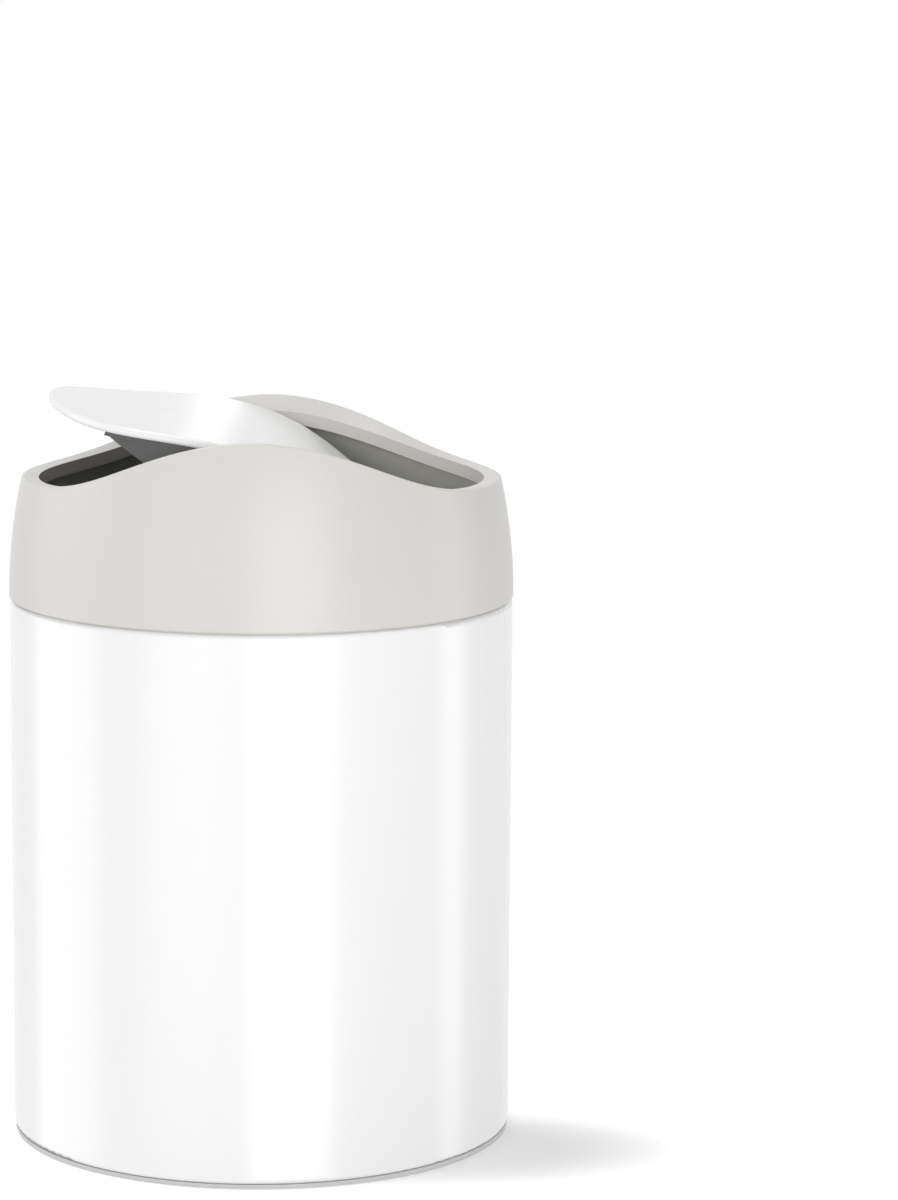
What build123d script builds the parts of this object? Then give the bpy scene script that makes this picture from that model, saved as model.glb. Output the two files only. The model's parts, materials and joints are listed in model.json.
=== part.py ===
from build123d import *

import math
import os

# Countertop bin: a painted steel can, a plastic top that plugs into it, and a wavy lid
# that swings on two pins along Y. Millimetres, Z up. The origin is the centre of the
# base, on the worktop. The lid is drawn closed and then turned to its pushed-open rest.

# ---- steel can
CAN_RADIUS = 62.25
CAN_HEIGHT = 132.9
CAN_SHEET = 0.6
CAN_BEND = 1.2  # outer radius where the sheet turns in, at both ends
TOP_FLANGE = 3.6  # inward turn at the mouth, measured from the outside
NECK_DEPTH = 2.6  # how far the mouth's edge is turned down again
BOTTOM_FLANGE = 5.0
FLOOR_SHEET = 0.5
FLOOR_RISE = 8.5  # floor above the can's lower edge
FLOOR_CORNER = 3.0
FLOOR_SEAM_GAP = 0.05
FLOOR_STEP_RADIUS = 38.0
FLOOR_STEP_HEIGHT = 1.2

# ---- base ring and its pads
RING_FLANGE = 1.0
RING_INSET = 0.3  # ring's edge inside the can's side
RING_INNER_RADIUS = 50.0
HUB_WALL = 2.0
HUB_GAP = 0.25
HOOK_COUNT = 6
HOOK_WIDTH = 12.0
HOOK_REACH = 1.1
HOOK_HEIGHT = 1.6
HOOK_GAP = 0.05
PAD_COUNT = 4
PAD_RADIUS = 3.2
PAD_HEIGHT = 0.7
PAD_PROUD = 0.2

# ---- collar, the visible top
COLLAR_PROUD = 0.2  # collar's side beyond the can's
COLLAR_WALL = 2.2
COLLAR_ARC = 134.0  # radius of the barrel's side, upright at the seam
SEAM_GAP = 0.4  # shadow line between the can and the collar
SEAT_WIDTH = 0.9  # foot of the collar that stands on the can
COLLAR_HEIGHT = 29.8  # from the seam to the outer rim, at left and right
RIM_RISE = 14.7  # crests at front and rear above that
RIM_CREST_POWER = 2.4  # higher gives a flatter crest
RIM_FLANK_POWER = 2.9  # higher gives a longer trough
LAND_WIDTH = 4.2  # rim's top face, in plan
RIM_DEPTH = 3.2  # height of the wall round the opening
RIM_ROUND = 0.7
FOOT_BEVEL = 0.3  # collar's outer lower edge

# ---- lid wave, shared by the rim's inner edge
WAVE_DROP = 0.3  # trough of the wave below the outer rim's low points
WAVE_RISE = 10.6

# ---- sleeve inside the collar
SLEEVE_WALL = 1.6
SLEEVE_GAP = 0.15
PLUG_DEPTH = 22.0
PLUG_GAP = 0.4
SNAP_HEIGHT = 4.5  # snap bead above the shoulder
SNAP_REACH = 0.5

# ---- swing lid
LID_THICKNESS = 2.2
LID_GAP = 1.2  # between lid and rim, in plan
LID_ROUND = 0.8
LID_TILT = 22.7  # pushed-open rest
CARRIER_THICKNESS = 1.0
CARRIER_INSET = 1.2
CARRIER_LIP = 0.8  # plate beyond the skirts' ends, short of the lid's tips
SKIRT_INSET = 1.5
SKIRT_WALL = 1.4
SKIRT_HALF_LENGTH = 35.7
SKIRT_DEPTH = 14.5  # below the lid's crest, at the pivots
SKIRT_BOW = 3.8  # rise of the skirt's lower edge from middle to end
RIB_OFFSET = 18.0
RIB_HEIGHT = 3.0
RIB_WALL = 1.2

# ---- pivots
AXIS_BELOW_CREST = 5.0
PIN_RADIUS = 1.0
PIN_BITE = 4.6  # length held in the lid's ear
PIN_GAP = 0.05
PIN_CHAMFER = 0.25
PIN_SHY = 0.5  # pin's end inside the bush's outer end
EAR_RADIUS = 2.0
EAR_LENGTH = 4.8
EAR_SETBACK = 0.15  # ear's end behind the lid's edge
BUSH_WALL = 0.5
BUSH_LENGTH = 5.2
END_FLOAT = 0.5
TOWER_WIDTH = 8.0
TOWER_BELOW_AXIS = 8.0
TOWER_COVER = 1.2  # over the bush, less where the rim comes down on it
TOWER_SETBACK = 0.7  # behind the opening's edge
TOWER_ROUND = 1.6

# ---- ballast bars and lid screws
BAR_LENGTH = 32.0
BAR_THICKNESS = 3.0
BAR_HEIGHT = 4.6
BAR_ROUND = 0.9
BAR_LIFT = 1.0  # above the skirt's lower edge
BAR_GAP = 0.5  # between the bar's ends and the skirt
LUG_OFFSET = 11.5
LUG_WIDTH = 4.0
PEG_RADIUS = 1.2
PEG_HEAD_RADIUS = 2.0
PEG_HEAD = 0.8
PEG_GAP = 0.1
SCREW_X = 27.0
SCREW_Y = 22.0
SCREW_RADIUS = 1.1
SCREW_BITE = 2.2
SCREW_HEAD_RADIUS = 2.8
SCREW_HEAD = 1.3
SCREW_BEVEL = 0.5
SCREW_SEAT = 0.1  # bosses end this far below the carrier's plate
BOSS_RADIUS = 2.2
BOSS_GAP = 0.1
SLOT_LENGTH = 3.3
SLOT_WIDTH = 0.7
SLOT_DEPTH = 0.7

STATIONS = 16  # points on each rim curve
MARGIN = 3.0  # overrun of cutting shapes

# ---- what follows from those
collar_radius = CAN_RADIUS + COLLAR_PROUD
can_bottom = PAD_PROUD + RING_FLANGE
can_top = can_bottom + CAN_HEIGHT
mouth_radius = CAN_RADIUS - TOP_FLANGE
drain_radius = CAN_RADIUS - BOTTOM_FLANGE
seam = can_top + SEAM_GAP
rim_low = seam + COLLAR_HEIGHT
wave_low = rim_low - WAVE_DROP
crest = wave_low + WAVE_RISE
axis_height = crest - AXIS_BELOW_CREST
bush_radius = PIN_RADIUS + PIN_GAP + BUSH_WALL


def barrel_radius(height, inset=0.0):
    """Radius of the collar's side at a height, less an inset."""
    return collar_radius - inset - COLLAR_ARC + math.sqrt(COLLAR_ARC**2 - (height - seam) ** 2)


def outer_rim(turn):
    """Radius and height of the rim's outer edge, at a turn from the front."""
    aside = abs(math.sin(turn)) ** RIM_CREST_POWER
    height = rim_low + RIM_RISE * (1 - aside) ** RIM_FLANK_POWER
    return barrel_radius(height), height


half_width = outer_rim(math.pi / 2)[0] - LAND_WIDTH
half_depth = outer_rim(0)[0] - LAND_WIDTH
core_radius = half_depth - 2 * MARGIN  # inside every wall of the top
ear_face = half_depth - LID_GAP - EAR_SETBACK


def wave_height(x):
    """Height of the lid's top, and of the rim's inner edge, at x: one full cosine wave."""
    return wave_low + WAVE_RISE * (1 + math.cos(math.pi * x / half_width)) / 2


def wave_slope(x):
    """Slope of the wave at x."""
    return -WAVE_RISE * math.pi / half_width * math.sin(math.pi * x / half_width) / 2


def inner_rim(turn):
    """Radius and height of the rim's inner edge, flush with the lid."""
    radius = outer_rim(turn)[0] - LAND_WIDTH
    return radius, wave_height(radius * math.sin(turn))


def closed_curve(place):
    """Closed spline through place(turn) -> (radius, height), from the front round."""
    points = []
    for station in range(STATIONS):
        turn = 2 * math.pi * station / STATIONS
        radius, height = place(turn)
        points.append((radius * math.sin(turn), -radius * math.cos(turn), height))
    return Edge.make_spline(points, periodic=True)


def land_sheet(drop):
    """The rim's sloping top face, run past both its edges and lowered by drop."""

    def land_at(turn, radius):
        (inner, low), (outer, high) = inner_rim(turn), outer_rim(turn)
        return radius, low + (high - low) * (radius - inner) / (outer - inner)

    inside = closed_curve(lambda turn: land_at(turn, core_radius))
    outside = closed_curve(lambda turn: land_at(turn, outer_rim(turn)[0] + MARGIN))
    return Pos(0, 0, -drop) * Face.make_surface_from_curves(inside, outside)


def keep_below(ring, sheet):
    """The part of a ring that lies under a sheet."""
    return Part() + ring.split(sheet, keep=Keep.ALL).sort_by(Axis.Z)[0]


def opening_prism(inset, bottom, top):
    """Upright prism with the plan of the opening, drawn in by inset."""
    outline = closed_curve(lambda turn: (inner_rim(turn)[0] - inset, bottom))
    return extrude(make_face(outline), top - bottom, dir=(0, 0, 1))


def disc(radius, bottom, top):
    """Upright cylinder between two heights."""
    standing = (Align.CENTER, Align.CENTER, Align.MIN)
    return Pos(0, 0, bottom) * Cylinder(radius, top - bottom, align=standing)


def ring_of(profile):
    """Solid of revolution from (radius, height) corners."""
    face = make_face(Polyline(*[(r, 0, z) for r, z in profile], close=True))
    return revolve(face, Axis.Z)


def barrel_ring(inset, inner, bottom, top, bevel=0.0):
    """Ring from the radius inner out to the barrel's side less an inset."""
    heights = (bottom + bevel, (bottom + top) / 2, top)
    low, mid, high = [(barrel_radius(z, inset), 0, z) for z in heights]
    foot = (low[0] - bevel, 0, bottom)
    side = ThreePointArc(low, mid, high)
    rest = Polyline(high, (inner, 0, top), (inner, 0, bottom), foot)
    if bevel:
        rest += Line(foot, low)
    return revolve(make_face(side + rest), Axis.Z)


def through(face):
    """A face in the XZ plane, drawn out along Y over the whole depth of the opening."""
    return extrude(Pos(0, -half_width, 0) * face, 2 * half_width, dir=(0, 1, 0))


def wave_slab(upper, lower):
    """Slab along Y between two copies of the wave, upper and lower below the lid's top."""
    xs = [half_width * (2 * n / STATIONS - 1) for n in range(STATIONS + 1)]
    top = Spline(*[(x, 0, wave_height(x) - upper) for x in xs])
    bottom = Spline(*[(x, 0, wave_height(x) - lower) for x in xs])
    ends = Line(top @ 0, bottom @ 0) + Line(top @ 1, bottom @ 1)
    return through(make_face(top + bottom + ends))


# ---- the steel can
def can_body():
    """Rolled tube with its lower edge turned in and its mouth curled in and down."""
    outer = disc(CAN_RADIUS, can_bottom, can_top)
    outer = fillet(outer.edges(), CAN_BEND)
    inner = disc(CAN_RADIUS - CAN_SHEET, can_bottom + CAN_SHEET, can_top - CAN_SHEET)
    inner = fillet(inner.edges(), CAN_BEND - CAN_SHEET)
    drain = disc(drain_radius, can_bottom - MARGIN, can_bottom + MARGIN)
    mouth = disc(mouth_radius, can_top - MARGIN, can_top + MARGIN)
    neck = ring_of(
        [
            (mouth_radius, can_top - NECK_DEPTH),
            (mouth_radius + CAN_SHEET, can_top - NECK_DEPTH),
            (mouth_radius + CAN_SHEET, can_top - CAN_SHEET / 2),
            (mouth_radius, can_top),
        ]
    )
    return outer - inner - drain - mouth + neck


def can_floor():
    """Pressed pan inside the can, its skirt standing on the turned-in lower edge."""
    radius = CAN_RADIUS - CAN_BEND - FLOOR_SEAM_GAP
    foot = can_bottom + CAN_SHEET
    level = can_bottom + FLOOR_RISE
    under = level - FLOOR_SHEET
    outer = disc(radius, foot, level)
    outer = fillet(outer.edges().group_by(Axis.Z)[-1], FLOOR_CORNER)
    inner = disc(radius - FLOOR_SHEET, foot, under)
    inner = fillet(inner.edges().group_by(Axis.Z)[-1], FLOOR_CORNER - FLOOR_SHEET)
    step = disc(FLOOR_STEP_RADIUS, under, level + FLOOR_STEP_HEIGHT)
    hollow = disc(FLOOR_STEP_RADIUS - FLOOR_SHEET, under, under + FLOOR_STEP_HEIGHT)
    return outer - inner + step - hollow


# ---- the base
def base_ring():
    """Plastic ring under the can, held by hooks over the can's lower flange."""
    hub_outer = drain_radius - HUB_GAP
    hub_inner = hub_outer - HUB_WALL
    flange_top = can_bottom + CAN_SHEET + HOOK_GAP
    hub_top = flange_top + HOOK_HEIGHT
    flange = ring_of(
        [
            (RING_INNER_RADIUS, PAD_PROUD),
            (CAN_RADIUS - RING_INSET, PAD_PROUD),
            (CAN_RADIUS - RING_INSET, can_bottom),
            (RING_INNER_RADIUS, can_bottom),
        ]
    )
    hub = ring_of(
        [(hub_inner, PAD_PROUD), (hub_outer, PAD_PROUD), (hub_outer, hub_top), (hub_inner, hub_top)]
    )
    barb = ring_of(
        [
            (hub_inner, flange_top),
            (hub_outer + HOOK_REACH, flange_top),
            (hub_outer, hub_top),
            (hub_inner, hub_top),
        ]
    )
    ring = flange + hub
    window = Box(2 * (HUB_WALL + HOOK_REACH), HOOK_WIDTH, 2 * (hub_top - flange_top))
    for place in PolarLocations(hub_outer, HOOK_COUNT):
        ring += barb & (Pos(0, 0, hub_top) * place * window)
    for spot in pad_spots():
        ring -= spot * disc(PAD_RADIUS, -MARGIN, PAD_HEIGHT)
    return ring


def pad_spots():
    """Places of the non-slip pads, at floor level, on the ring between the hooks."""
    pitch = (RING_INNER_RADIUS + CAN_RADIUS - RING_INSET) / 2
    return PolarLocations(pitch, PAD_COUNT, start_angle=180 / PAD_COUNT)


def foot_pads():
    """Rubber discs let into the base ring."""
    return [spot * disc(PAD_RADIUS, 0, PAD_HEIGHT) for spot in pad_spots()]


# ---- the top: collar and sleeve
def snap_bead(grow):
    """Bead of triangular section where the sleeve snaps into the collar."""
    height = can_top + SNAP_HEIGHT
    radius = barrel_radius(height, COLLAR_WALL + SLEEVE_GAP)
    inner = radius - SLEEVE_WALL / 2
    half = radius + SNAP_REACH + grow - inner
    return ring_of([(inner, height - half), (inner + half, height), (inner, height + half)])


def outer_rim_edges(shell):
    """The long edges of the rim that meet at its front, on the outside."""
    radius, height = outer_rim(0)
    spot = Vertex(0, -radius, height)
    long = shell.edges().filter_by(lambda edge: edge.length > RIM_RISE)
    return long.filter_by(lambda edge: edge.distance_to(spot) < RIM_ROUND / 2)


def collar_shell():
    """Barrel-shaped collar with a wavy rim that turns down round the opening."""
    top = rim_low + RIM_RISE + MARGIN
    core = core_radius + MARGIN
    shell = keep_below(barrel_ring(0, core, seam, top, FOOT_BEVEL), land_sheet(0))
    shell -= opening_prism(0, seam - MARGIN, top)
    shell -= keep_below(barrel_ring(COLLAR_WALL, core, seam - MARGIN, top), land_sheet(RIM_DEPTH))
    shell = fillet(outer_rim_edges(shell), RIM_ROUND)
    foot_inner = barrel_radius(seam, COLLAR_WALL)
    seat = ring_of(
        [
            (foot_inner, can_top),
            (foot_inner + SEAT_WIDTH, can_top),
            (foot_inner + SEAT_WIDTH, seam + SEAM_GAP),
            (foot_inner, seam + SEAM_GAP),
        ]
    )
    return shell + seat - snap_bead(SLEEVE_GAP)


def pivot_tower():
    """Block on the sleeve that holds a bush; drawn at the front."""
    inner_face = half_depth + TOWER_SETBACK
    wall = barrel_radius(axis_height, COLLAR_WALL + SLEEVE_GAP + SLEEVE_WALL / 2)
    top = axis_height + bush_radius + TOWER_COVER
    bottom = axis_height - TOWER_BELOW_AXIS
    block = Pos(0, -(inner_face + wall) / 2, (top + bottom) / 2) * Box(
        TOWER_WIDTH, wall - inner_face, top - bottom
    )
    return fillet(block.edges().filter_by(Axis.Y).group_by(Axis.Z)[0], TOWER_ROUND)


def collar_sleeve():
    """Liner of the collar: plugs into the can's mouth and carries the pivots."""
    outer_inset = COLLAR_WALL + SLEEVE_GAP
    inner_inset = outer_inset + SLEEVE_WALL
    plug_radius = mouth_radius - PLUG_GAP
    plug_bottom = can_top - PLUG_DEPTH
    top = rim_low + RIM_RISE
    liner = barrel_ring(outer_inset, core_radius + MARGIN, can_top, top)
    liner -= barrel_ring(inner_inset, core_radius, can_top + SLEEVE_WALL, top + MARGIN)
    for side in (0, 180):
        liner += Rot(0, 0, side) * pivot_tower()
    liner = keep_below(liner, land_sheet(RIM_DEPTH + SLEEVE_GAP)) + snap_bead(0)
    plug = ring_of(
        [
            (plug_radius - SLEEVE_WALL, plug_bottom),
            (plug_radius, plug_bottom),
            (plug_radius, can_top + SLEEVE_WALL),
            (plug_radius - SLEEVE_WALL, can_top + SLEEVE_WALL),
        ]
    )
    sleeve = liner + plug - disc(plug_radius - SLEEVE_WALL, plug_bottom, can_top + SLEEVE_WALL)
    bush_hole = Cylinder(bush_radius, 2 * collar_radius, rotation=(90, 0, 0))
    return sleeve - Pos(0, 0, axis_height) * bush_hole


# ---- pivots, drawn at the front
def front_cylinder(radius, near, length):
    """Cylinder on the hinge axis that starts near the middle and runs to the front."""
    return Pos(0, -near - length / 2, axis_height) * Cylinder(radius, length, rotation=(90, 0, 0))


def pivot_bush():
    """Plain bush in the sleeve; its inner end limits the lid's end float."""
    near = ear_face + END_FLOAT
    bore = front_cylinder(PIN_RADIUS + PIN_GAP, near - MARGIN, BUSH_LENGTH + 2 * MARGIN)
    return front_cylinder(bush_radius, near, BUSH_LENGTH) - bore


def pivot_pin():
    """Steel pin, held in the lid's ear and turning in the bush."""
    length = PIN_BITE + END_FLOAT + BUSH_LENGTH - PIN_SHY
    pin = front_cylinder(PIN_RADIUS, ear_face - PIN_BITE, length)
    return chamfer(pin.edges(), PIN_CHAMFER)


# ---- the lid, drawn closed
def screw_frames():
    """Places of the lid screws, square to the lid's underside."""
    frames = []
    for x in (-SCREW_X, SCREW_X):
        lean = -math.degrees(math.atan(wave_slope(x)))
        under = wave_height(x) - LID_THICKNESS - CARRIER_THICKNESS
        for y in (-SCREW_Y, SCREW_Y):
            frames.append(Pos(x, y, under - SCREW_SEAT) * Rot(0, lean, 0))
    return frames


def lid_panel():
    """White wavy panel, flush with the rim, with four screw bosses under it."""
    plan = opening_prism(LID_GAP, wave_low - LID_THICKNESS - MARGIN, crest + MARGIN)
    panel = wave_slab(0, LID_THICKNESS) & plan
    outline = panel.edges().filter_by(lambda edge: edge.length > 4 * half_depth)
    panel = fillet(outline, LID_ROUND)
    for frame in screw_frames():
        panel += frame * disc(BOSS_RADIUS, 0, CARRIER_THICKNESS + LID_THICKNESS / 2)
        panel -= frame * disc(SCREW_RADIUS, 0, SCREW_BITE)
    return panel


def lid_screws():
    """Four pan-head screws that clamp the carrier to the panel's bosses."""
    head = disc(SCREW_HEAD_RADIUS, -SCREW_HEAD, 0)
    head = chamfer(head.edges().group_by(Axis.Z)[0], SCREW_BEVEL)
    slot = Pos(0, 0, -SCREW_HEAD) * Box(SLOT_LENGTH, SLOT_WIDTH, 2 * SLOT_DEPTH)
    screw = disc(SCREW_RADIUS, 0, SCREW_BITE) + head - slot - Rot(0, 0, 90) * slot
    return [frame * screw for frame in screw_frames()]


def skirt_edge(x):
    """Height of the skirt's lower edge at x."""
    return crest - SKIRT_DEPTH + SKIRT_BOW * (x / SKIRT_HALF_LENGTH) ** 2


def bar_reach():
    """Distance of a ballast bar's outer face from the middle, its ends clear of the skirt."""
    skirt_inner = half_depth - LID_GAP - SKIRT_INSET - SKIRT_WALL
    return math.sqrt(skirt_inner**2 - (BAR_LENGTH / 2) ** 2) - BAR_GAP


def bar_frames():
    """Middle of each ballast bar's outer face, front and rear, facing outward."""
    height = skirt_edge(BAR_LENGTH / 2) + BAR_LIFT + BAR_HEIGHT / 2
    return [Rot(0, 0, side) * Pos(0, -bar_reach(), height) for side in (0, 180)]


def lid_carrier():
    """Grey underside of the lid: plate, two hanging skirts, ears, ribs and ballast lugs."""
    under = LID_THICKNESS + CARRIER_THICKNESS
    floor, ceiling = crest - 2 * SKIRT_DEPTH, crest + MARGIN
    skirt_outer = LID_GAP + SKIRT_INSET
    plate = wave_slab(LID_THICKNESS, under) & opening_prism(LID_GAP + CARRIER_INSET, floor, ceiling)
    plate &= Box(2 * (SKIRT_HALF_LENGTH + CARRIER_LIP), 2 * half_width, 2 * crest)
    left, middle, right = [(x, 0, skirt_edge(x)) for x in (-SKIRT_HALF_LENGTH, 0, SKIRT_HALF_LENGTH)]
    corners = [(SKIRT_HALF_LENGTH, 0, ceiling), (-SKIRT_HALF_LENGTH, 0, ceiling)]
    curtain = through(make_face(ThreePointArc(left, middle, right) + Polyline(right, *corners, left)))
    curtain -= wave_slab(LID_THICKNESS - SKIRT_DEPTH, LID_THICKNESS)
    inside = opening_prism(skirt_outer + SKIRT_WALL, floor, ceiling)
    skirts = curtain & (opening_prism(skirt_outer, floor, ceiling) - inside)
    carrier = plate + skirts
    beneath = curtain & inside
    for x in (-RIB_OFFSET, RIB_OFFSET):
        rib = Pos(x, 0, 0) * Box(RIB_WALL, 2 * half_width, 2 * crest)
        carrier += wave_slab(LID_THICKNESS, under + RIB_HEIGHT) & rib & beneath
    for frame in bar_frames():
        carrier += frame * lugs()
    for frame in screw_frames():
        carrier -= frame * disc(BOSS_RADIUS + BOSS_GAP, -MARGIN, MARGIN)
    ear = front_cylinder(EAR_RADIUS, ear_face - EAR_LENGTH, EAR_LENGTH)
    pin_hole = front_cylinder(PIN_RADIUS, ear_face - PIN_BITE, PIN_BITE + MARGIN)
    for side in (0, 180):
        carrier += Rot(0, 0, side) * ear
        carrier -= Rot(0, 0, side) * pin_hole
    return carrier


def lugs():
    """Two lugs from the skirt to a ballast bar, each with a headed peg through the bar."""
    wall = half_depth - LID_GAP - SKIRT_INSET - SKIRT_WALL / 2
    block = Box(LUG_WIDTH, wall - bar_reach(), BAR_HEIGHT, align=(Align.CENTER, Align.MAX, Align.CENTER))
    peg = disc(PEG_RADIUS, 0, BAR_THICKNESS)
    head = disc(PEG_HEAD_RADIUS, BAR_THICKNESS, BAR_THICKNESS + PEG_HEAD)
    lug = block + Rot(-90, 0, 0) * (peg + head)
    return Pos(-LUG_OFFSET, 0, 0) * lug + Pos(LUG_OFFSET, 0, 0) * lug


def lid_weight():
    """Steel ballast bar, drawn at the front, with clearance holes for its pegs."""
    bar = Box(BAR_LENGTH, BAR_THICKNESS, BAR_HEIGHT, align=(Align.CENTER, Align.MIN, Align.CENTER))
    bar = fillet(bar.edges().filter_by(Axis.Y), BAR_ROUND)
    hole = Rot(-90, 0, 0) * disc(PEG_RADIUS + PEG_GAP, -MARGIN, BAR_THICKNESS + MARGIN)
    for x in (-LUG_OFFSET, LUG_OFFSET):
        bar -= Pos(x, 0, 0) * hole
    return bar


# ---- assembly
opened = Pos(0, 0, axis_height) * Rot(0, LID_TILT, 0) * Pos(0, 0, -axis_height)
rear = Rot(0, 0, 180)
front_bar, rear_bar = [frame * lid_weight() for frame in bar_frames()]
nodes = {
    "can_body": [can_body()],
    "can_floor": [can_floor()],
    "base_ring": [base_ring()],
    "foot_pads": foot_pads(),
    "collar_shell": [collar_shell()],
    "collar_sleeve": [collar_sleeve()],
    "pivot_bush_front": [pivot_bush()],
    "pivot_bush_rear": [rear * pivot_bush()],
    "lid_panel": [opened * lid_panel()],
    "lid_carrier": [opened * lid_carrier()],
    "lid_screws": [opened * screw for screw in lid_screws()],
    "lid_weight_front": [opened * front_bar],
    "lid_weight_rear": [opened * rear_bar],
    "pivot_pin_front": [pivot_pin()],
    "pivot_pin_rear": [rear * pivot_pin()],
}

os.makedirs("parts", exist_ok=True)
for name, pieces in nodes.items():
    solids = [solid for piece in pieces for solid in piece.solids()]
    export_step(Compound(children=solids), f"parts/{name}.step")
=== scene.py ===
# %% [markdown]
# # A countertop bin with a swing lid
#
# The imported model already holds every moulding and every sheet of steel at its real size, so
# this script gives them their finishes, adds a studio and a camera, and moves nothing.
#
# The first cell loads that model. Its nodes arrive as mesh objects whose normals follow the
# curved surfaces, so they shade smoothly and need no more geometry.

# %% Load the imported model
import json
import math

import bpy
import numpy as np
from mathutils import Matrix, Vector

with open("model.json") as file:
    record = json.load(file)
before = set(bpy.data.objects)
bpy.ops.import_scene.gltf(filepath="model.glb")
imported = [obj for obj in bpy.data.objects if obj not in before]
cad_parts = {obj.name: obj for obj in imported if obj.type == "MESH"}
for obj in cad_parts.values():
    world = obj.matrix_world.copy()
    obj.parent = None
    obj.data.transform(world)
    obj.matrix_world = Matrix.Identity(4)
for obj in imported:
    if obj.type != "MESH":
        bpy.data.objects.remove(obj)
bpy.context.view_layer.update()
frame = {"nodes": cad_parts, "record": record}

print("nodes:", ", ".join(sorted(frame["nodes"])))

# %% [markdown]
# ## Shader maths as Python
#
# A procedural finish is a short piece of arithmetic: a noise, scaled and added to a number.
# Blender stores that as nodes. `Signal` wraps one output socket and turns `+`, `-` and `*`
# on it into Math nodes, so that a formula can be written as a formula. `Finish` makes one
# material, and its `node` method makes every other kind of node: settings go in first, and
# then the values or links of its sockets.

# %% A socket that can be added and multiplied
class Signal:
    """One output socket of a node tree, with arithmetic that adds Math nodes."""

    def __init__(self, finish, socket):
        self.finish, self.socket = finish, socket

    def _math(self, operation, first, second):
        return self.finish.node("Math", {"operation": operation}, {0: first, 1: second})

    def __add__(self, other):
        return self._math("ADD", self, other)

    def __sub__(self, other):
        return self._math("SUBTRACT", self, other)

    def __rsub__(self, other):
        return self._math("SUBTRACT", other, self)

    def __mul__(self, other):
        return self._math("MULTIPLY", self, other)

    __radd__, __rmul__ = __add__, __mul__


# %% One material and its nodes
class Finish:
    """A material with one Principled shader; node() adds any other node to it."""

    def __init__(self, name):
        self.material = bpy.data.materials.new(name)
        self.material.use_nodes = True
        self.tree = self.material.node_tree
        self.shader = self.tree.nodes["Principled BSDF"]
        self.surface = self.tree.nodes["Material Output"].inputs["Surface"]
        coordinates = self.tree.nodes.new("ShaderNodeTexCoord")
        self.place = Signal(self, coordinates.outputs["Object"])

    def feed(self, socket, value):
        """Links a Signal to a socket, or sets the socket's own value."""
        if isinstance(value, Signal):
            self.tree.links.new(value.socket, socket)
        else:
            socket.default_value = value

    def node(self, kind, settings=None, inputs=None, output=0):
        """A node of a type: settings first, then the values or links of its sockets."""
        made = self.tree.nodes.new("ShaderNode" + kind)
        for key, value in (settings or {}).items():
            setattr(made, key, value)
        for key, value in (inputs or {}).items():
            self.feed(made.inputs[key], value)
        return Signal(self, made.outputs[output])

    def set(self, **sockets):
        """Sets or links sockets of the Principled shader, with _ for a space, and returns self."""
        for key, value in sockets.items():
            self.feed(self.shader.inputs[key.replace("_", " ")], value)
        return self


# %% [markdown]
# ## Patterns that plastics and paint share
#
# One noise does most of the work. `cloud` gives it a size in millimetres: large for slow
# changes of tone, small for orange peel and for the grain of a mould, and squeezed along one
# axis for the marks of a grinding wheel. `relief` reads a pattern as a height in millimetres,
# so a bump is as deep on the screen as it would be under a gauge. `tint` reads it as a colour
# between two, and `shaded` makes the darker of the two.

# %% Noise with a real size, and bumps with a real height
MM = 0.001
EVEN = (1, 1, 1)
MIX_DARK, MIX_LIGHT, MIX_RESULT = 6, 7, 2  # the colour sockets of a Mix node


def cloud(finish, size, detail=2.0, squeeze=EVEN):
    """Smooth noise from 0 to 1 with blobs about size mm wide, over squeeze along each axis."""
    place = finish.node("VectorMath", {"operation": "MULTIPLY"}, {0: finish.place, 1: squeeze})
    scale = 1 / (size * MM)
    return finish.node("TexNoise", {}, {"Vector": place, "Scale": scale, "Detail": detail})


def relief(finish, height, depth):
    """Normal of a height field from 0 to 1 that is depth mm deep."""
    return finish.node("Bump", {}, {"Strength": 1.0, "Distance": depth * MM, "Height": height})


def tint(finish, factor, dark, light):
    """Colour that runs from dark to light as factor goes from 0 to 1."""
    colours = {MIX_DARK: (*dark, 1), MIX_LIGHT: (*light, 1)}
    return finish.node(
        "Mix", {"data_type": "RGBA"}, {"Factor": factor, **colours}, output=MIX_RESULT
    )


def shaded(colour, share):
    """A colour scaled by a share, for the darker end of a tint."""
    return tuple(share * channel for channel in colour)


print("patterns are ready")

# %% [markdown]
# ## Painted steel
#
# The can is powder-coated steel with a clear gloss. Three things make white paint look like
# paint: a coat that mirrors the studio softly, a slight orange peel in that coat, and a tone
# that drifts by a percent or two. The floor of the can has the same paint with less gloss,
# because it is sprayed from afar and gets dusty.

# %% White paint for the can, and its duller inside
PAINT = (0.88, 0.88, 0.88)
PAINT_SHADE = (0.865, 0.865, 0.867)
COAT_ROUGHNESS = 0.20
DRIFT_SIZE, MOTTLE_SIZE, PEEL_SIZE = 38.0, 9.0, 1.6  # mm
MOTTLE_GLOSS = 0.06


def painted_steel(name, roughness, coat, peel):
    """White paint under a coat of weight coat, with an orange peel that is peel mm deep."""
    finish = Finish(name)
    drift = cloud(finish, DRIFT_SIZE)
    skin = cloud(finish, PEEL_SIZE, detail=1.0)
    return finish.set(
        Base_Color=tint(finish, drift, PAINT_SHADE, PAINT),
        Roughness=roughness + MOTTLE_GLOSS * cloud(finish, MOTTLE_SIZE),
        Coat_Weight=coat,
        Coat_Roughness=COAT_ROUGHNESS,
        Normal=relief(finish, skin, peel),
    )


paint_outside = painted_steel("white_paint", roughness=0.30, coat=0.8, peel=0.003)
paint_inside = painted_steel("floor_paint", roughness=0.42, coat=0.1, peel=0.006)
print("paint:", paint_outside.material.name, paint_inside.material.name)

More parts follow.
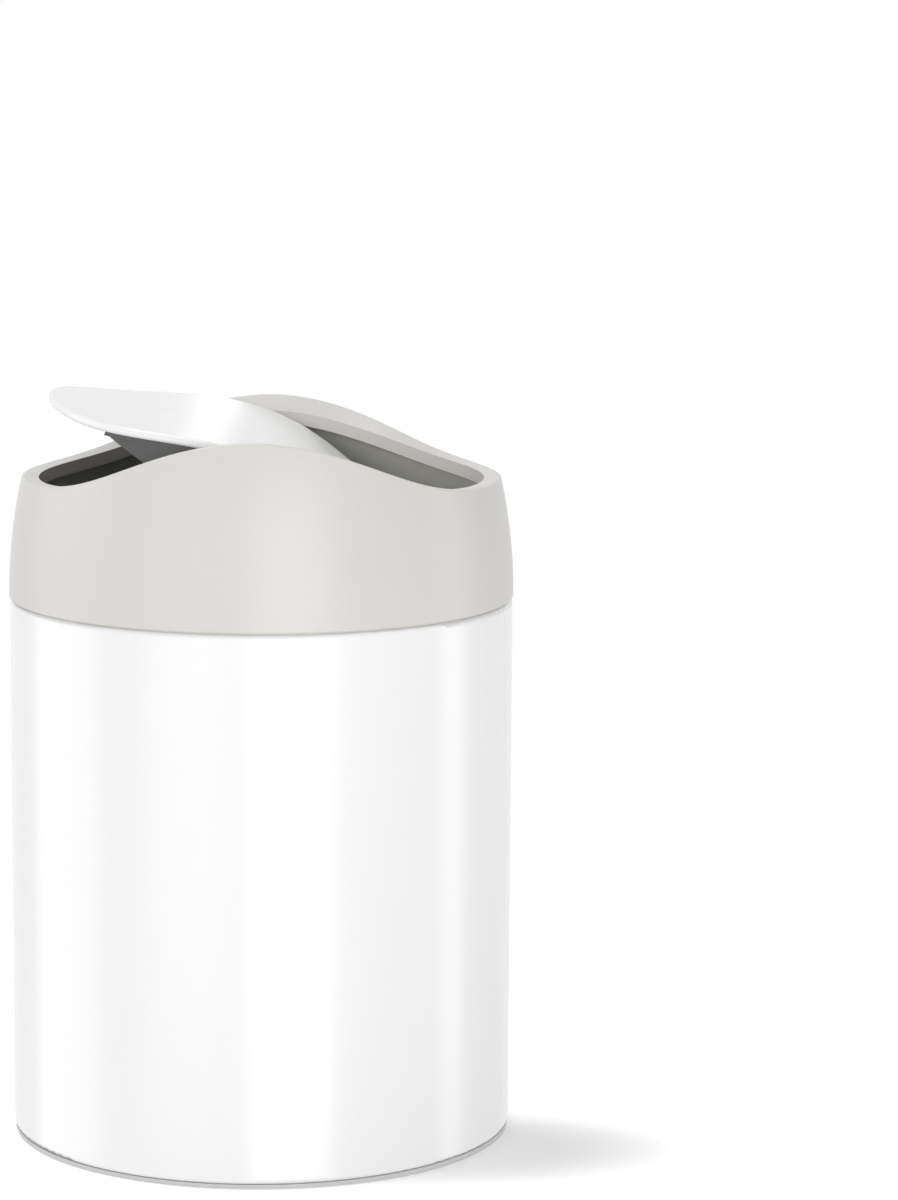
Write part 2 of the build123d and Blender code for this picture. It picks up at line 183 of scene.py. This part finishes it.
# %% [markdown]
# ## Moulded plastics
#
# The collar, the liner, the lid's carrier and the base ring are injection moulded. Their
# moulds are spark-eroded, which leaves a grain of a third of a millimetre that takes the hard
# shine off. Melt also shrinks unevenly, so a large face is never quite flat: a very slow
# bump, a hundredth of a millimetre deep, bends the reflections as it does on the real part.
# One function makes all of them from a colour, a gloss and a grain.

# %% Moulded plastic from a colour, a gloss and a grain
GRAIN_SIZE, SINK_SIZE, MELT_SIZE = 0.35, 24.0, 14.0  # mm
SINK_DEPTH = 0.01  # mm
GRAIN_GLOSS = 0.1
MIDDLE = 0.5  # of a noise from 0 to 1


def moulded(name, dark, light, roughness, grain):
    """Plastic with a fine etched grain, grain mm deep, over a slow shrinkage wave."""
    finish = Finish(name)
    etched = cloud(finish, GRAIN_SIZE, detail=3.0)
    wave = cloud(finish, SINK_SIZE, detail=0.0)
    height = grain * etched + SINK_DEPTH * wave
    return finish.set(
        Base_Color=tint(finish, cloud(finish, MELT_SIZE, detail=4.0), dark, light),
        Roughness=roughness + GRAIN_GLOSS * (etched - MIDDLE),
        Normal=relief(finish, height, depth=1.0),
    )


COLLAR_GREY = (0.672, 0.653, 0.628)
LINER_GREY = (0.44, 0.434, 0.393)
BASE_GREY = (0.60, 0.60, 0.595)
# The carrier's near-black grey is painted shade: it is darkened to stand in for the shade under
# the lid.
CARRIER_PAINTED_SHADE_GREY = (0.085, 0.085, 0.083)
BUSH_WHITE = (0.66, 0.66, 0.64)
BUSH_SHADE = (0.60, 0.60, 0.585)

collar = moulded(
    "collar_plastic", shaded(COLLAR_GREY, 0.975), COLLAR_GREY, roughness=0.34, grain=0.004
)
liner = moulded(
    "sleeve_plastic", shaded(LINER_GREY, 0.95), LINER_GREY, roughness=0.52, grain=0.006
)
base = moulded(
    "base_plastic", shaded(BASE_GREY, 0.96), BASE_GREY, roughness=0.50, grain=0.005
)
# The lid's carrier takes that near-black grey, which is painted shade from under the lid.
carrier = moulded(
    "carrier_plastic", shaded(CARRIER_PAINTED_SHADE_GREY, 0.93), CARRIER_PAINTED_SHADE_GREY, roughness=0.48, grain=0.006
)
bush = moulded("bush_plastic", BUSH_SHADE, BUSH_WHITE, roughness=0.30, grain=0.002)
print("plastics:", [part.material.name for part in (collar, liner, base, carrier, bush)])

# %% [markdown]
# ## The glossy lid
#
# The lid comes from a polished mould, so it has no grain at all. It shows clear lights with
# soft edges, and only the slow shrinkage wave bends them. It has the lowest roughness of the
# plastics here and no coat, because at a low angle it mirrors so much by itself that a
# second layer would bleach it.

# %% Polished white plastic for the lid
LID_WHITE = (0.87, 0.87, 0.868)
LID_ROUGHNESS, LID_MOTTLE_GLOSS = 0.23, 0.05
LID_MELT_SIZE, LID_MOTTLE_SIZE, LID_SINK_SIZE = 30.0, 12.0, 26.0  # mm
LID_SINK_DEPTH = 0.012  # mm

lid = Finish("lid_plastic")
lid.set(
    Base_Color=tint(lid, cloud(lid, LID_MELT_SIZE), shaded(LID_WHITE, 0.985), LID_WHITE),
    Roughness=LID_ROUGHNESS + LID_MOTTLE_GLOSS * cloud(lid, LID_MOTTLE_SIZE),
    Normal=relief(lid, cloud(lid, LID_SINK_SIZE, detail=0.0), LID_SINK_DEPTH),
)
print("lid:", lid.material.name)

# %% [markdown]
# ## Rubber and steel
#
# The pads are dark rubber with a matt, slightly dusty face. The pins are ground steel, the
# ballast bars are cut from rolled strip, and the screws are zinc plated. Rolling and grinding
# leave long thin marks, which are noise drawn out or squeezed along one axis.

# %% Rubber for the pads
RUBBER_BLACK = (0.025, 0.025, 0.026)
RUBBER_DUST = (0.06, 0.06, 0.06)
RUBBER_ROUGHNESS, RUB_GLOSS = 0.72, 0.12
DUST_SIZE, RUB_SIZE, PORE_SIZE = 2.5, 0.8, 0.5  # mm
PORE_DEPTH = 0.01  # mm

rubber = Finish("pad_rubber")
rubber.set(
    Base_Color=tint(rubber, cloud(rubber, DUST_SIZE, detail=4.0), RUBBER_BLACK, RUBBER_DUST),
    Roughness=RUBBER_ROUGHNESS + RUB_GLOSS * cloud(rubber, RUB_SIZE),
    Normal=relief(rubber, cloud(rubber, PORE_SIZE, detail=3.0), PORE_DEPTH),
)


# %% Steel with the marks of its making
MARK_SIZE = 1.2  # mm, across the marks
MARK_SHADE, MARK_GLOSS = 0.86, 0.16
ALONG_X = (0.05, 1, 1)
AROUND_Y = (1, 4, 1)
ROLLED_GREY = (0.50, 0.50, 0.51)
GROUND_GREY = (0.64, 0.64, 0.65)
ZINC_GREY = (0.60, 0.61, 0.62)


def bare_steel(name, colour, roughness, marks, depth):
    """Metal whose marks are noise squeezed by marks along each axis, depth mm deep."""
    finish = Finish(name)
    lines = cloud(finish, MARK_SIZE, detail=4.0, squeeze=marks)
    return finish.set(
        Base_Color=tint(finish, lines, shaded(colour, MARK_SHADE), colour),
        Metallic=1.0,
        Roughness=roughness + MARK_GLOSS * (lines - MIDDLE),
        Normal=relief(finish, lines, depth),
    )


weight = bare_steel("weight_steel", ROLLED_GREY, roughness=0.38, marks=ALONG_X, depth=0.01)
pin = bare_steel("pin_steel", GROUND_GREY, roughness=0.20, marks=AROUND_Y, depth=0.002)
screw = bare_steel("screw_steel", ZINC_GREY, roughness=0.30, marks=EVEN, depth=0.004)
print("steel:", [part.material.name for part in (weight, pin, screw)])

# %% [markdown]
# ## Each finish on its own material slot
#
# Every CAD node carries one slot, named in the record. A dictionary from the slot's name to
# the finish is all that has to be kept in step with it.

# %% Put the finishes on the nodes
finishes = {
    "white_paint": paint_outside,
    "floor_paint": paint_inside,
    "base_plastic": base,
    "pad_rubber": rubber,
    "collar_plastic": collar,
    "sleeve_plastic": liner,
    "bush_plastic": bush,
    "lid_plastic": lid,
    "carrier_plastic": carrier,
    "screw_steel": screw,
    "weight_steel": weight,
    "pin_steel": pin,
}
slots = {part["node"]: part["material_slot"] for part in frame["record"]["subparts"]}
for name, node in frame["nodes"].items():
    for material_slot in node.material_slots:
        material_slot.material = finishes[slots[name]].material
print("finished nodes:", len(frame["nodes"]))

# %% [markdown]
# ## The studio
#
# The bin stands on a wide pale floor under a white sky. The sky lights it at about half
# strength and shows as plain white to the camera and in reflections, so that the picture's
# ground stays white without more light on the bin.
#
# The floor is matt paper, which catches the bin's shadow and stays out of its gloss. Two
# things happen to it with distance, as it is seen and not as it lights the bin. Round a flat
# oval at the right of the base a faint glow, painted light that no lamp gives, lifts it to
# white and erases the real shadow there, so that the shadow stays small and low. Further out
# it turns transparent, so that no grey horizon shows. The distance is measured from the
# oval's centre and counts more front to back than left to right, which makes it an oval.

# %% White surroundings
SKY_LIGHT, SKY_SEEN = 0.455, 1.0
WHITE = (1, 1, 1, 1)


def light_path(tree, *kinds):
    """1 for rays of the named kinds and 0 for all others."""
    path = tree.nodes.new("ShaderNodeLightPath")
    total = path.outputs[kinds[0]]
    for kind in kinds[1:]:
        larger = tree.nodes.new("ShaderNodeMath")
        larger.operation = "MAXIMUM"
        tree.links.new(total, larger.inputs[0])
        tree.links.new(path.outputs[kind], larger.inputs[1])
        total = larger.outputs[0]
    return total


SEEN = ("Is Camera Ray", "Is Glossy Ray", "Is Transmission Ray")
world = bpy.data.worlds.new("studio")
bpy.context.scene.world = world
world.use_nodes = True
sky = world.node_tree.nodes["Background"]
strength = world.node_tree.nodes.new("ShaderNodeMapRange")
strength.inputs["To Min"].default_value = SKY_LIGHT
strength.inputs["To Max"].default_value = SKY_SEEN
world.node_tree.links.new(light_path(world.node_tree, *SEEN), strength.inputs["Value"])
world.node_tree.links.new(strength.outputs[0], sky.inputs["Strength"])
sky.inputs["Color"].default_value = WHITE
print("sky light", SKY_LIGHT)

# %% A pale floor, six metres wide
FLOOR_HALF = 3.0

floor_mesh = bpy.data.meshes.new("studio_floor")
floor_corners = FLOOR_HALF * np.array([(-1, -1, 0), (1, -1, 0), (1, 1, 0), (-1, 1, 0)])
floor_mesh.from_pydata(floor_corners.tolist(), [], [(0, 1, 2, 3)])
floor = bpy.data.objects.new("studio_floor", floor_mesh)
floor.visible_glossy = False
bpy.context.scene.collection.objects.link(floor)
print("floor", 2 * FLOOR_HALF, "m wide")

# %% Paper that keeps the shadow and fades into the sky
FLOOR_TONE = 0.90
OVAL_CENTRE = (0.024, -0.026, 0.0)
OVAL_SQUEEZE = (1, 2.6, 1)  # front to back counts more
GLOW_RANGE = (0.046, 0.115)  # m from the oval's centre
GLOW_NEAR, GLOW_FAR = 0.15, 0.56
FADE_RANGE = (0.40, 0.90)  # m

paper = Finish("studio_paper")
seen = Signal(paper, light_path(paper.tree, *SEEN))
offset = paper.node("VectorMath", {"operation": "SUBTRACT"}, {0: paper.place, 1: OVAL_CENTRE})
oval = paper.node("VectorMath", {"operation": "MULTIPLY"}, {0: offset, 1: OVAL_SQUEEZE})
radius = paper.node("VectorMath", {"operation": "LENGTH"}, {0: oval}, output="Value")


def eased(span, start=0.0, end=1.0):
    """A smooth step from start to end over a span of distances from the oval's centre."""
    limits = {"From Min": span[0], "From Max": span[1], "To Min": start, "To Max": end}
    smooth = {"interpolation_type": "SMOOTHSTEP"}
    return paper.node("MapRange", smooth, {"Value": radius, **limits})


matt = paper.node("BsdfDiffuse", {}, {"Color": (FLOOR_TONE, FLOOR_TONE, FLOOR_TONE, 1)})
# The glow is painted light: it whitens the floor's real shadow outside the oval.
glow = paper.node("Emission", {}, {"Strength": seen * eased(GLOW_RANGE, GLOW_NEAR, GLOW_FAR)})
lit = paper.node("AddShader", {}, {0: matt, 1: glow})
clear = paper.node("BsdfTransparent")
fade = seen * eased(FADE_RANGE)
paper.feed(paper.surface, paper.node("MixShader", {}, {0: fade, 1: lit, 2: clear}))
paper.tree.nodes.remove(paper.shader)
floor_mesh.materials.append(paper.material)
print("paper:", paper.material.name)

# %% [markdown]
# ## Softboxes
#
# Gloss is only as good as what it mirrors. A tall box at the left gives the can its left
# highlight, a wide one nearer the camera a weaker band, and one in front, a little to the
# right, the broad highlight in the middle. A narrow box at the right draws a thin line near
# the edge. A box high up behind the left shoulder throws the soft shadow at the right of the
# base, and a small strip behind the bin is what the sloping lid mirrors.
#
# Angles are measured round the bin from the front, and turn to the right. The tall boxes
# reach below the floor, which doesn't show in reflections, so that a band keeps its strength
# down to the base ring. A box's brightness is its radiance, with the sky's white at 1, and
# from that its watts follow: pi times area times radiance.

# %% Six softboxes that face the bin
def softbox(name, angle, distance, height, width, tall, brightness, aim=None):
    """Area light at an angle in degrees, distance m away, level unless aimed at a height."""
    lamp = bpy.data.lights.new(name, "AREA")
    lamp.shape, lamp.size, lamp.size_y = "RECTANGLE", width, tall
    lamp.energy = math.pi * width * tall * brightness
    holder = bpy.data.objects.new(name, lamp)
    turn = math.radians(angle)
    holder.location = (distance * math.sin(turn), -distance * math.cos(turn), height)
    target = Vector((0, 0, height if aim is None else aim))
    holder.rotation_euler = (target - holder.location).to_track_quat("-Z", "Y").to_euler()
    holder.visible_camera = False
    bpy.context.scene.collection.objects.link(holder)
    print(name, [round(v, 2) for v in holder.location], round(lamp.energy, 2), "W")


BOX_HEIGHT, BOX_TALL = 0.12, 1.0  # m, the same for the four tall ones
TALL_BOXES = {
    "box_left": dict(angle=-97, distance=1.1, width=0.88, brightness=1.25),
    "box_left_fill": dict(angle=-32, distance=1.5, width=0.95, brightness=1.15),
    "box_front": dict(angle=15, distance=1.0, width=0.62, brightness=3.3),
    "box_right": dict(angle=97, distance=1.1, width=0.28, brightness=1.6),
}
for box_name, box in TALL_BOXES.items():
    softbox(box_name, height=BOX_HEIGHT, tall=BOX_TALL, **box)

key = dict(angle=-118, distance=0.38, height=1.4, width=0.50, tall=0.50, brightness=7.4)
softbox("key_top", aim=0.1, **key)
strip = dict(angle=181.5, distance=1.2, height=0.285, width=0.05, tall=0.12, brightness=1.6)
softbox("strip_back", **strip)

# %% [markdown]
# ## The camera
#
# It stands a metre in front of the bin and thirty centimetres above the floor, and looks
# down by nine degrees through a long lens that leaves room above and at the right. A camera
# looks along its own -Z, so it is built from three turns: round Z to face the bin, round X
# to tip it down, and round its own axis for a last fraction of a degree of roll.

# %% Long lens, a metre away, looking slightly down
CAMERA_PLACE = (0.0443, -1.0264, 0.2933)
CAMERA_HEADING = 0.0021  # radians, like the next two
CAMERA_PITCH = 0.1548
CAMERA_ROLL = 0.0068
CAMERA_LENS = 125.47  # mm

camera_data = bpy.data.cameras.new("camera")
camera_data.lens = CAMERA_LENS
camera = bpy.data.objects.new("camera", camera_data)
heading = Matrix.Rotation(-CAMERA_HEADING, 4, "Z")
tip = Matrix.Rotation(math.pi / 2 - CAMERA_PITCH, 4, "X")
roll = Matrix.Rotation(CAMERA_ROLL, 4, "Z")
camera.matrix_world = Matrix.Translation(CAMERA_PLACE) @ heading @ tip @ roll
bpy.context.scene.collection.objects.link(camera)
bpy.context.scene.camera = camera
bpy.context.scene.view_settings.view_transform = "Standard"
print("camera at", CAMERA_PLACE, "lens", CAMERA_LENS, "mm")
